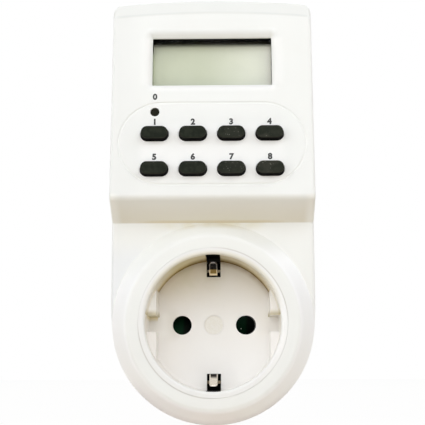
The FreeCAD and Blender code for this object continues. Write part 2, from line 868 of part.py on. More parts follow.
def contact_strip():
    """Elastomer strip between the display's contact ledge and the board."""
    high = window_high + glass_margin
    low = high - contact_strip_width + stack_clearance
    strip = box(-window_half_width, window_half_width, low, high, -display_board_depth,
                -glass_depth - glass_thickness / 2)
    return on_head(strip)


def key_outline(margin, z, x, y):
    """Outline of a key, wider or narrower all round by the margin."""
    return rounded(key_length + 2 * margin, key_height + 2 * margin, key_corner + margin, z, x, y)


def key_top(x, y):
    """Key top with leaning sides and a softened crown."""
    top = Part.makeLoft([key_outline(0, 0, x, y), key_outline(-key_taper, key_rise, x, y)], True, True)
    crown = [e for e in top.Edges if abs(e.BoundBox.ZMin - key_rise) < fine]
    return top.makeFillet(key_top_radius, crown)


def key(x, y):
    """Rubber key: top, waist through the cover, flange behind it and a stem above its dome."""
    seat = -case_wall - key_seat_gap
    waist = prism(key_outline(0, seat, x, y), -seat)
    back = seat - key_flange_thickness
    flange = key_outline(key_flange, back, x, y)
    stem = rod(key_stem_radius, dome_z() + stem_end, seat, x, y)
    return on_head(fused([key_top(x, y), waist, prism(flange, key_flange_thickness), stem]))


def dome_z():
    """Level of the mat's domes, under the keys' stems."""
    return -display_board_depth + mat_thickness + mat_thickness / 2


def reset_key():
    """Peg behind the reset hole."""
    seat = -case_wall - key_seat_gap
    peg = rod(reset_hole_radius - key_clearance, seat, -reset_sink, reset_x, reset_y)
    flange = rod(key_stem_radius + key_flange, seat - key_flange_thickness, seat, reset_x, reset_y)
    stem = rod(key_stem_radius, dome_z() + stem_end, seat, reset_x, reset_y)
    return on_head(fused([peg, flange, stem]))


def keypad_mat():
    """Rubber sheet on the board with a dome under every key."""
    side = key_pitch * (key_columns - 1) / 2 + mat_margin
    low = key_row_low - mat_low_margin
    back = -display_board_depth
    sheet = box(-side, side, low, reset_y + mat_margin / 2, back, back + mat_thickness)
    domes = [rod(mat_dome_radius, -display_board_depth, dome_z(), x, y) for x, y in key_places()]
    domes.append(rod(mat_dome_radius, -display_board_depth, dome_z(), reset_x, reset_y))
    return on_head(fused([sheet] + domes))


def display_board():
    back = -display_board_depth - board_thickness
    front = -display_board_depth
    board = box(-board_wide_half, board_wide_half, display_board_low, display_neck_y, back, front)
    neck = box(-board_neck_half, board_neck_half, display_neck_y, display_board_high, back, front)
    board = board.fuse(neck)
    for x, y in board_screw_places():
        board = board.cut(rod(board_screw_radius + screw_clearance, back, front, x, y))
    return on_head(board.removeSplitter())


def power_board():
    front = power_board_z + board_thickness
    neck = box(-board_neck_half, board_neck_half, power_board_low, power_board_high, power_board_z, front)
    wide = box(-board_wide_half, board_wide_half, power_wide_low, power_wide_high, power_board_z, front)
    board = neck.fuse(wide)
    for x, y in power_screw_places():
        board = board.cut(rod(board_screw_radius + screw_clearance, power_board_z, front, x, y))
    return board.removeSplitter()


def standing_box(size, place):
    """A component of the given size on the power board."""
    x, y = place
    base = power_board_z + board_thickness
    return box(x - size[0] / 2, x + size[0] / 2, y - size[1] / 2, y + size[1] / 2, base, base + size[2])


def relay():
    body = standing_box(relay_size, relay_at)
    upright = [e for e in body.Edges if e.BoundBox.ZLength > relay_size[2] / 2]
    return body.makeFillet(edge_radius, upright)


def mains_capacitor():
    body = standing_box(film_size, film_at)
    upright = [e for e in body.Edges if e.BoundBox.ZLength > film_size[2] / 2]
    return body.makeFillet(edge_radius, upright)


def smoothing_capacitor():
    base = power_board_z + board_thickness
    can = rod(can_radius, base, base + can_height, can_at[0], can_at[1])
    return can.makeFillet(can_edge_radius, [can.Edges[0]])


def surge_disc():
    base = power_board_z + board_thickness
    disc = rod(disc_radius, -disc_thickness / 2, disc_thickness / 2)
    disc.rotate(V(0, 0, 0), V(0, 1, 0), 90)
    disc.translate(V(disc_at[0], disc_at[1], base + disc_radius))
    return disc


def axial_group(radius, length, row_y, count):
    """A row of lying round parts on the power board."""
    base = power_board_z + board_thickness
    parts = []
    for index in range(count):
        part = rod(radius, -length / 2, length / 2)
        part.rotate(V(0, 0, 0), ACROSS, 90)
        part.translate(V(axial_first_x + index * axial_pitch, row_y, base + radius))
        parts.append(part)
    return Part.makeCompound(parts)


def backup_cell():
    base = power_board_z + board_thickness + clip_strap
    cell = rod(cell_radius, base, base + cell_height, cell_at[0], cell_at[1])
    return cell.makeFillet(can_edge_radius, [e for e in cell.Edges if e.BoundBox.ZLength < fine])


def cell_clip():
    """Sprung strap that holds the cell to the board."""
    base = power_board_z + board_thickness
    x, y = cell_at
    reach = cell_radius + stack_clearance
    half = clip_width / 2
    top = base + clip_strap + cell_height
    seat = box(x - reach - clip_strap, x + reach + clip_strap, y - half, y + half, base, base + clip_strap)
    parts = [seat]
    for side in (-1, 1):
        low, high = sorted((x + side * reach, x + side * (reach + clip_strap)))
        parts.append(box(low, high, y - half, y + half, base, top + clip_strap))
    parts.append(box(x - reach, x + reach, y - half, y + half, top, top + clip_strap))
    return fused(parts)


def ribbon_turn():
    """Depths where the ribbon leaves its two headers, and the radius of its turn."""
    low = power_board_z + board_thickness + header_height + stack_clearance
    stack = display_board_depth + board_thickness + header_height + ribbon_gap
    high = head_height(ribbon_y) - stack
    return low, high, (high - low) / 2


def board_ribbon():
    """Flat cable between the boards, bent in a half turn."""
    low, high, radius = ribbon_turn()
    ring = tube(radius, radius - ribbon_thickness, -ribbon_width / 2, ribbon_width / 2)
    ring = ring.cut(box(-2 * radius, 2 * radius, -2 * radius, 0, -ribbon_width, ribbon_width))
    ring.rotate(V(0, 0, 0), V(0, 1, 0), 90)
    ring.translate(V(ribbon_x, ribbon_y, (low + high) / 2))
    return ring


def ribbon_headers():
    """Connector blocks at the two ends of the ribbon."""
    base = power_board_z + board_thickness
    half = ribbon_width / 2 + header_margin
    low_one = box(ribbon_x - half, ribbon_x + half, ribbon_y - header_depth / 2, ribbon_y + header_depth / 2,
                  base, base + header_height)
    along = (ribbon_y - head_datum_y) / head_cos
    back = -display_board_depth - board_thickness
    high_one = box(ribbon_x - half, ribbon_x + half, along - header_depth, along + header_margin,
                   back - header_height, back)
    return Part.makeCompound([low_one, on_head(high_one)])


def clock_chip():
    back = -display_board_depth - board_thickness
    dome = rod(chip_radius, back - chip_height, back, chip_at[0], chip_at[1])
    edges = [e for e in dome.Edges if abs(e.CenterOfMass.z - back + chip_height) < fine]
    return on_head(dome.makeFillet(chip_edge_radius, edges))


def quartz_crystal():
    back = -display_board_depth - board_thickness
    can = rod(crystal_radius, 0, crystal_length)
    can.rotate(V(0, 0, 0), ACROSS, -90)
    can.translate(V(crystal_at[0], crystal_at[1], back - crystal_radius))
    return on_head(can)


def cover_screws():
    """Six alike screws from the back through the posts."""
    screws = []
    for x, y in cover_screw_places():
        head = rod(cover_screw_head, cover_screw_seat_z - cover_screw_head_height, cover_screw_seat_z, x, y)
        shank = rod(cover_screw_radius, cover_screw_seat_z, cover_screw_seat_z + cover_screw_bite, x, y)
        half_slot = screw_slot_width / 2
        back = cover_screw_seat_z - cover_screw_head_height
        slot = box(x - cover_screw_head, x + cover_screw_head, y - half_slot, y + half_slot,
                   back, back + cover_screw_head_height / 2)
        screws.append(head.fuse(shank).cut(slot))
    return Part.makeCompound(screws)


def small_screw(x, y, seat, way):
    """Board screw with its head on the given level, pointing up (+1) or down (-1)."""
    low, high = sorted((seat, seat - way * board_screw_head_height))
    head = rod(board_screw_head, low, high, x, y)
    low, high = sorted((seat, seat + way * (board_thickness + board_screw_bite)))
    return head.fuse(rod(board_screw_radius, low, high, x, y))


def board_screws():
    """Eight alike screws: four hold the display board, four the power board."""
    back = -display_board_depth - board_thickness
    screws = [on_head(small_screw(x, y, back, 1)) for x, y in board_screw_places()]
    front = power_board_z + board_thickness
    screws += [small_screw(x, y, front, -1) for x, y in power_screw_places()]
    return Part.makeCompound(screws)


def write(name, shape):
    """Turns a piece upright and writes it."""
    upright = shape.copy()
    upright.rotate(V(0, 0, 0), ACROSS, 90)
    upright.exportStep("parts/" + name + ".step")


def flipped(shape):
    """The same piece at the bottom of the socket, turned half round its axis."""
    turned = shape.copy()
    turned.rotate(V(0, 0, 0), OUT, 180)
    return turned


os.makedirs("parts", exist_ok=True)
write("front_cover", front_cover())
write("rear_cover", rear_cover())
write("socket_insert", socket_insert())
write("shutter_pivot", shutter_pivot())
write("shutter", shutter())
write("shutter_spring", shutter_spring())
write("contact_carrier", contact_carrier())
write("contact_neutral", contact_sleeve())
write("contact_line", mirrored(contact_sleeve()))
write("plug_pin_neutral", plug_pin())
write("plug_pin_line", mirrored(plug_pin()))
write("neutral_busbar", busbar())
write("line_busbar", mirrored(busbar()))
write("earth_clip_top", earth_clip())
write("earth_clip_bottom", flipped(earth_clip()))
write("earth_bridge", earth_bridge())
write("display_frame", display_frame())
write("display_lens", display_lens())
write("display_glass", display_glass())
write("contact_strip", contact_strip())
for number, (key_x, key_y) in enumerate(key_places(), start=1):
    write("key_" + str(number), key(key_x, key_y))
write("reset_key", reset_key())
write("keypad_mat", keypad_mat())
write("display_board", display_board())
write("power_board", power_board())
write("relay", relay())
write("mains_capacitor", mains_capacitor())
write("smoothing_capacitor", smoothing_capacitor())
write("surge_disc", surge_disc())
write("diodes", axial_group(diode_radius, diode_length, diode_row_y, diode_count))
write("resistors", axial_group(resistor_radius, resistor_length, resistor_row_y, resistor_count))
write("backup_cell", backup_cell())
write("cell_clip", cell_clip())
write("board_ribbon", board_ribbon())
write("ribbon_headers", ribbon_headers())
write("clock_chip", clock_chip())
write("quartz_crystal", quartz_crystal())
write("cover_screws", cover_screws())
write("board_screws", board_screws())
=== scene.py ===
import json
import math

import bpy
from mathutils import Matrix, Vector


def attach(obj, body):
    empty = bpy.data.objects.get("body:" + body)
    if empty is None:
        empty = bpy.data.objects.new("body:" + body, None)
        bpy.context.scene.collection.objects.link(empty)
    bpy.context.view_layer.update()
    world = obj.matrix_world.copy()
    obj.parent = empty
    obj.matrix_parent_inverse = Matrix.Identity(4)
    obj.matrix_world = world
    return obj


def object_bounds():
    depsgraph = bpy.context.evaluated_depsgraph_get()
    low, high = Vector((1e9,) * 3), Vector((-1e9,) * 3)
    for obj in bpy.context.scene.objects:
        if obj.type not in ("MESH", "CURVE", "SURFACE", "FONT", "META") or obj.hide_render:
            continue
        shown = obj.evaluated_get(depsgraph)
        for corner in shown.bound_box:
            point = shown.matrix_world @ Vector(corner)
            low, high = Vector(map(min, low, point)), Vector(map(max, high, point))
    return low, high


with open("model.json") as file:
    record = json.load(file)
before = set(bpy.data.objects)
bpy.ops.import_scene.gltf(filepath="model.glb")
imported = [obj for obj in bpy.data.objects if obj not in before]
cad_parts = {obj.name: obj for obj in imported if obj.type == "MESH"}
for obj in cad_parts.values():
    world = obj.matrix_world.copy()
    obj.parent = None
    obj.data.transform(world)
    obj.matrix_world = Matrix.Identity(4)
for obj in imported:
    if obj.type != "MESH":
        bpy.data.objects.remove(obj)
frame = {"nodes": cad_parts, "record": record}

case_low, case_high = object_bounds()
nodes = frame["nodes"]
record = frame["record"]

# All sizes are in metres. Across runs right, up runs up the wall and out runs away from it.

# Distances out from the wall plane, and the thickness of the recess's floor
SOCKET_FACE = 0.0390
LOW_FACE = SOCKET_FACE - 0.0039
RIM_FACE = SOCKET_FACE - 0.0005
SLOT_TOP = SOCKET_FACE - 0.0012
RECESS_FLOOR = SOCKET_FACE - 0.0175
FLOOR_THICKNESS = 0.0018
LEDGE_TOP = RECESS_FLOOR + 0.0105
CLIP_BULGE = RECESS_FLOOR + 0.0045
CLIP_MIDDLE = RECESS_FLOOR + 0.0072
CLIP_TIP = RECESS_FLOOR + 0.0098

# Distances from the socket's axis
RECESS_RADIUS = 0.01945
SEAM_RADIUS = 0.0213
CONE_TOP = 0.0250
CONE_FOOT = 0.0290
MARK_RADIUS = 0.00275
PIN_X = 0.0095
LEDGE_X = 0.0166
LEDGE_GAP = 0.0024
SLOT_HALF_WIDTH = 0.00205
SLOT_REACH = 0.0145

# The earth clips' strip, its rounded end and the painted highlight along its edge
CLIP_HALF_WIDTH = 0.0012
CLIP_TIP_RADIUS = 0.0008
CLIP_EDGE = 0.00028

# The case's outline, the step's foot and the arched crease near the head's top
CASE_HALF_WIDTH = 0.0298
STEP_FOOT_UP = 0.0290
TOP_UP = 0.0967
TOP_ARC_RADIUS = 0.3100
CREASE_UP = 0.0919
CREASE_CENTRE_UP = TOP_UP - TOP_ARC_RADIUS
CREASE_RADIUS = CREASE_UP - CREASE_CENTRE_UP

# The head's sloping face, and places across and up it
HEAD_TILT = math.radians(5.65)
HEAD_RISE = 0.0056
HEAD_FOOT = Vector((0, -SOCKET_FACE - HEAD_RISE, 0.0360))
WINDOW_HALF_WIDTH = 0.0176
WINDOW_LOW = 0.0335
WINDOW_HIGH = 0.0485
KEYPAD_HALF_WIDTH = 0.0215
KEYPAD_HIGH = 0.0215
KEY_COLUMNS = 4
KEY_PITCH = 0.01106
KEY_ROWS = (0.0179, 0.0073)
KEY_RISE = 0.0021
RESET_X = -0.0166

# The printed numbers, each over its key or over the reset hole
NUMBER_RISE = 0.00365
RESET_NUMBER_UP = 0.0293
NUMBER_HEIGHT = 0.0017
FONT_SIZE = NUMBER_HEIGHT * 1.42
CURVE_STEPS = 4
STROKE_WIDENING = 0.00012
PRINT_THICKNESS = 0.00003

# The floor, the sky and the lamps, each lamp with its place and power
WHITE = (1, 1, 1, 1)
FLOOR_SIZE = 4
FLOOR_GAP = 0.0002
FLOOR_TONE = (0.80, 0.705, 0.57, 1)
SKY_TONE = (1.0, 0.985, 0.95, 1)
SKY_LEVEL = 0.03
LAMP_SIZE = 0.9
LAMP_TONE = (0.972, 1, 1.052)
LAMP_AIM = Vector((0, -0.03, 0.03))
LAMPS = {
    "front_lamp": ((0, -0.95, 0.40), 4.25),
    "left_lamp": ((-0.9, -0.6, 0.15), 3.75),
    "high_left_lamp": ((-0.7, -0.5, 0.65), 2.4),
    "high_right_lamp": ((0.7, -0.5, 0.65), 4.45),
    "back_lamp": ((0.15, 0.6, 0.8), 3.5),
}

# The camera, as fitted to the photograph
CAMERA_PLACE = (0.0046793, -0.319788, -0.014130)
CAMERA_AIM = Vector((-0.016445, 0.986938, 0.160255))
CAMERA_ROLL = -0.00283
CAMERA_SENSOR = 36
CAMERA_LENS = 83.589


class Level:
    """A value that varies over a surface; arithmetic on it adds the nodes."""

    def __init__(self, shading, socket):
        self.shading = shading
        self.socket = socket

    def arithmetic(self, operation, first, second=0.0):
        return self.shading.node("ShaderNodeMath", {"operation": operation}, {0: first, 1: second})

    def __add__(self, other):
        return self.arithmetic("ADD", self, other)

    __radd__ = __add__

    def __mul__(self, other):
        return self.arithmetic("MULTIPLY", self, other)

    __rmul__ = __mul__

    def __sub__(self, other):
        return self.arithmetic("SUBTRACT", self, other)

    def __rsub__(self, other):
        return self.arithmetic("SUBTRACT", other, self)

    def __pow__(self, other):
        return self.arithmetic("POWER", self, other)

    def above(self, limit):
        return self.arithmetic("GREATER_THAN", self, limit)

    def most(self, other):
        return self.arithmetic("MAXIMUM", self, other)

    def size(self):
        return self.arithmetic("ABSOLUTE", self)

    def fade(self, start, end):
        """0 at start and 1 at end, smooth between."""
        return self.shading.node(
            "ShaderNodeMapRange", {"interpolation_type": "SMOOTHSTEP"},
            {"Value": self, "From Min": start, "From Max": end})

    def band(self, start, full, last, end):
        """0 at start, 1 from full to last, and 0 again at end."""
        return self.fade(start, full) * self.fade(end, last)

    def near(self, place, full, end):
        """1 within the distance full of a place, 0 from the distance end on."""
        return (self - place).size().fade(end, full)


def length(one, other):
    """The straight distance over two legs at right angles."""
    return (one * one + other * other) ** 0.5


class Shading:
    """The nodes of a material or of the world."""

    def __init__(self, tree):
        self.tree = tree

    def node(self, kind, settings=None, inputs=None, output=0):
        """Adds a node, sets it, fills its sockets and gives one of its outputs."""
        made = self.tree.nodes.new(kind)
        for key, value in (settings or {}).items():
            setattr(made, key, value)
        for key, value in (inputs or {}).items():
            self.feed(made.inputs[key], value)
        return Level(self, made.outputs[output])

    def feed(self, socket, value):
        if isinstance(value, Level):
            self.tree.links.new(value.socket, socket)
        else:
            socket.default_value = value

    def ray(self, kind):
        """1 for one kind of light ray, 0 for the others."""
        return self.node("ShaderNodeLightPath", output="Is %s Ray" % kind)

    def show(self, output, own, other, share):
        """Connects to the output its own shader, with another one mixed in by a share."""
        mix = self.node("ShaderNodeMixShader", inputs={0: share, 1: Level(self, own.outputs[0]), 2: other})
        self.feed(self.tree.nodes[output].inputs["Surface"], mix)


class Finish(Shading):
    """A material round a single surface shader."""

    def __init__(self, name, **constants):
        self.material = bpy.data.materials.new(name)
        self.material.use_nodes = True
        super().__init__(self.material.node_tree)
        self.surface = self.tree.nodes["Principled BSDF"]
        self.place = self.node("ShaderNodeTexCoord", output="Object")
        for socket, value in constants.items():
            self.set(socket.replace("_", " "), value)

    def set(self, socket, value):
        self.feed(self.surface.inputs[socket], value)

    def noise(self, scale, detail=4.0, roughness=0.5, stretch=(1, 1, 1)):
        spot = self.node("ShaderNodeMapping", inputs={"Vector": self.place, "Scale": stretch})
        return self.node("ShaderNodeTexNoise", inputs={
            "Vector": spot, "Scale": scale, "Detail": detail, "Roughness": roughness})

    def grain(self, scale=2600):
        """The fine grain of a spark-eroded mould."""
        return self.noise(scale, 2, 0.6)

    def specks(self, scale, radius, seed=(0, 0, 0)):
        """Scattered round dots, 1 inside each dot."""
        spot = self.node("ShaderNodeMapping", inputs={"Vector": self.place, "Location": seed})
        gap = self.node("ShaderNodeTexVoronoi", inputs={"Vector": spot, "Scale": scale})
        return gap.fade(radius, radius * 0.6)

    def opaque(self, tone):
        return tone if isinstance(tone, Level) else (*tone, 1)

    def colour(self, mask, first, second):
        """The first tone where the mask is 0, the second where it is 1."""
        return self.node(
            "ShaderNodeMix", {"data_type": "RGBA"},
            {"Factor": mask, 6: self.opaque(first), 7: self.opaque(second)}, output=2)

    def complete(self, tone, roughness, relief=None, depth=0.0):
        """Sets the tone, the roughness and a relief of a depth in metres."""
        self.set("Base Color", tone)
        self.set("Roughness", roughness)
        if relief is not None:
            self.set("Normal", self.node("ShaderNodeBump", inputs={"Distance": depth, "Height": relief}))


class PlacedFinish(Finish):
    """A finish that knows where each of its points lies on the timer.

    across and up are taken from the socket's axis, side from the middle plane, out from the wall plane,
    reach is the distance from the socket's axis, rise the height over the head's sloping face and along
    the place up that face.
    """

    def __init__(self, name, **constants):
        super().__init__(name, **constants)
        split = self.node("ShaderNodeSeparateXYZ", inputs={"Vector": self.place})
        self.across, back, self.up = (Level(self, split.socket.node.outputs[axis]) for axis in "XYZ")
        self.side = self.across.size()
        self.out = back * -1
        self.reach = length(self.across, self.up)
        cos, sin = math.cos(HEAD_TILT), math.sin(HEAD_TILT)
        from_foot_back, from_foot_up = back - HEAD_FOOT.y, self.up - HEAD_FOOT.z
        self.rise = from_foot_up * sin - from_foot_back * cos
        self.along = from_foot_up * cos + from_foot_back * sin

    def towards(self, across, up):
        """Distance from the socket's axis in one direction across and up."""
        return self.across * across + self.up * up

    def seam_line(self, tone):
        """A thin line of dirt along the rim's seam, strongest up right and down left."""
        line = self.reach.near(SEAM_RADIUS, 0.00008, 0.00024) * self.out.above(RIM_FACE - 0.001)
        seen = self.towards(1, 1).size().fade(0.019, 0.027)
        dirt = (0.42, 0.36, 0.29)
        return self.colour(line * seen * 0.32, tone, dirt)


class CaseFinish(PlacedFinish):
    """The masks and layers of the pale case."""

    def __init__(self, name, **constants):
        super().__init__(name, **constants)
        self.in_front = self.rise.fade(-0.007, -0.004)
        self.past_crease = length(self.across, self.up - CREASE_CENTRE_UP) - CREASE_RADIUS
        self.under_crease = self.past_crease.fade(0.0002, -0.0004)

    def rubbed_face(self, tone):
        """Painted light round the keys and on both sides of the window: the face made paler there."""
        keypad = self.side.fade(KEYPAD_HALF_WIDTH + 0.001, KEYPAD_HALF_WIDTH - 0.003)
        keypad = keypad * self.along.band(0.002, 0.005, KEYPAD_HIGH - 0.003, KEYPAD_HIGH + 0.001)
        beside = self.along.band(WINDOW_LOW - 0.001, WINDOW_LOW + 0.001, WINDOW_HIGH - 0.001, WINDOW_HIGH)
        beside = beside * self.side.fade(WINDOW_HALF_WIDTH + 0.0045, WINDOW_HALF_WIDTH)
        # Painted light: a paler tone where the keys and the window's sides would shade the face
        painted_light_tone = (0.965, 0.963, 0.930)
        return self.colour(keypad.most(beside) * self.in_front * 0.9, tone, painted_light_tone)

    def left_edge(self, tone):
        """The head's face a little darker towards its left edge: painted shade."""
        edge = self.across.fade(-0.019, -0.027) * self.in_front * self.rise.above(-0.0004)
        # Painted shade towards the left edge
        dim = (0.85, 0.856, 0.826)
        return self.colour(edge * 0.6, tone, dim)

    def window_surround(self, tone):
        """The soft surround of the window, with painted light along its top and its foot."""
        over = self.along.band(
            WINDOW_HIGH + 0.0005, WINDOW_HIGH + 0.0015, WINDOW_HIGH + 0.0020, WINDOW_HIGH + 0.0030)
        over = over * self.side.fade(WINDOW_HALF_WIDTH + 0.0020, WINDOW_HALF_WIDTH)
        # Painted light: the surround over and under the window made paler against its shade
        cool_white = (0.98, 1.0, 0.985)
        tone = self.colour(over * self.in_front * 0.9, tone, cool_white)
        under = self.along.band(WINDOW_LOW - 0.0030, WINDOW_LOW - 0.0010, WINDOW_LOW, WINDOW_LOW + 0.001)
        under = under * self.side.fade(WINDOW_HALF_WIDTH + 0.0015, WINDOW_HALF_WIDTH - 0.0005)
        warm_white = (0.985, 0.98, 0.948)
        return self.colour(under * self.in_front, tone, warm_white)

    def crease_line(self, tone):
        """A grey line of painted shade in the crease, and the bevel over it a little yellower."""
        line = self.past_crease.band(-0.0008, -0.0002, 0.0001, 0.0006)
        line = line * self.side.fade(CASE_HALF_WIDTH - 0.0010, CASE_HALF_WIDTH - 0.0020)
        # grey is painted shade in the crease
        grey, yellower = (0.75, 0.76, 0.71), (0.90, 0.895, 0.84)
        tone = self.colour(line * self.in_front * 0.45, tone, grey)
        return self.colour(self.past_crease.above(0.0003) * self.in_front * 0.5, tone, yellower)

    def flanks(self, tone):
        """The sides painted paler beside the head and darker round the low end: painted light and painted
        shade.
        """
        head_side = self.rise.fade(-0.00008, -0.0004) * self.under_crease
        head_side = head_side * self.up.above(STEP_FOOT_UP + 0.0075)
        low_side = self.out.band(0.016, 0.026, LOW_FACE - 0.0004, LOW_FACE - 0.00008) * self.up.above(0)
        rounded = self.side.above(CASE_HALF_WIDTH - 0.0028) * head_side.most(low_side)
        upright = self.side.above(CASE_HALF_WIDTH - 0.0008) * self.up.above(0) * self.under_crease
        upper = rounded.most(upright) * self.out.fade(0.001, 0.004)
        lower = self.out.band(0.001, 0.004, LOW_FACE - 0.0016, LOW_FACE - 0.0006) * self.up.fade(0.001, 0)
        # Painted light on the sides, painted shade at their low end
        clean, painted_shade_grey = (0.99, 0.99, 0.975), (0.80, 0.78, 0.76)
        return self.colour(upper.most(lower), tone, self.colour(self.up.fade(-0.012, -0.020), clean, painted_shade_grey))

    def cone(self, tone):
        """The cone round the socket: painted paler but at its top and greyer low down, with a grey brink
        there: painted light and painted shade.
        """
        slope = self.reach.fade(CONE_TOP - 0.0006, CONE_TOP + 0.0004) * self.out.above(LOW_FACE - 0.0016)
        slope = slope * self.reach.fade(CONE_FOOT + 0.0002, CONE_FOOT - 0.0002).most(self.up.fade(0.004, 0))
        below_top = self.towards(-0.17, 0.985).fade(0.0215, 0.0130)
        lowest = self.towards(-0.26, -0.97).fade(0.021, 0.0255)
        # white is painted light; greyer and grey are painted shade on the downward-facing low part
        white, greyer, grey = (1.0, 1.0, 0.99), (0.965, 0.952, 0.955), (0.84, 0.82, 0.83)
        tone = self.colour(slope * below_top, tone, self.colour(lowest, white, greyer))
        brink = self.reach.fade(CONE_FOOT - 0.0018, CONE_FOOT - 0.0002) * self.up.fade(-0.016, -0.022)
        return self.colour(brink * 0.7, tone, grey)

    def low_face(self, tone):
        """The flat face between the cone and the step, with painted shade greyer to the left."""
        flat = self.out.fade(LOW_FACE + 0.0003, LOW_FACE + 0.0001) * self.out.above(LOW_FACE - 0.0004)
        flat = flat * self.reach.fade(CONE_FOOT - 0.0002, CONE_FOOT + 0.0006)
        flat = flat * self.up.band(0, 0.003, 0.017, 0.025) * self.across.fade(0.014, -0.010)
        # Painted shade towards the left
        greyer = (0.85, 0.863, 0.862)
        return self.colour(flat * 0.9, tone, greyer)

    def step_dirt(self, tone):
        """Ochre dirt and painted shade at the step's foot and over the step, spread a little below it; the
        step's ends painted paler, as painted light.
        """
        stand = self.out - LOW_FACE
        from_foot = length(self.up - STEP_FOOT_UP, stand)
        on_step = self.up.above(STEP_FOOT_UP + 0.00003) * stand.above(-0.0003)
        on_step = on_step * self.along.fade(0.0005, -0.0005)
        ends = self.side.fade(CASE_HALF_WIDTH - 0.0038, CASE_HALF_WIDTH - 0.0006)
        central = self.side.fade(0.027, 0.014) * 0.7 + 0.3
        settled = from_foot.fade(0.0026, 0.0003) * (self.noise(180, 3) * 0.2 + 0.37) * central
        settled = settled.most(from_foot.fade(0.013, 0) * 0.22 * (1 - ends))
        # ochre is dirt and painted shade together; clean is painted light on the step's ends
        ochre, clean, tan = (0.60, 0.43, 0.10), (0.97, 0.97, 0.92), (0.62, 0.50, 0.15)
        tone = self.colour(settled * on_step, tone, ochre)
        tone = self.colour(ends * on_step, tone, clean)
        spread = from_foot.fade(0.0030, 0.0003) * self.side.fade(0.022, 0.006) * (1 - on_step)
        return self.colour(spread * (self.noise(140, 2).fade(0.35, 0.6) * 0.22 + 0.1), tone, tan)

    def dust(self, tone):
        """Scattered specks of dust, in patches."""
        specks = self.specks(420, 0.05) * self.noise(90, 1).fade(0.56, 0.66)
        brown = (0.55, 0.50, 0.40)
        return self.colour(specks * 0.25, tone, brown)


def case_plastic():
    """The pale case, with painted light round the keys and the window, and dirt and painted shade at the
    step's foot.
    """
    finish = CaseFinish("case_plastic", IOR=1.5)
    drift = finish.noise(40, 3).fade(0.3, 0.7)
    tone = finish.colour(drift, (0.903, 0.910, 0.876), (0.890, 0.894, 0.854))
    layers = (
        finish.rubbed_face, finish.left_edge, finish.window_surround, finish.crease_line, finish.flanks,
        finish.cone, finish.low_face, finish.step_dirt, finish.seam_line, finish.dust)
    for layer in layers:
        tone = layer(tone)
    finish.complete(tone, finish.noise(150, 4) * 0.14 + 0.36, finish.grain(2400), 0.000005)
    return finish


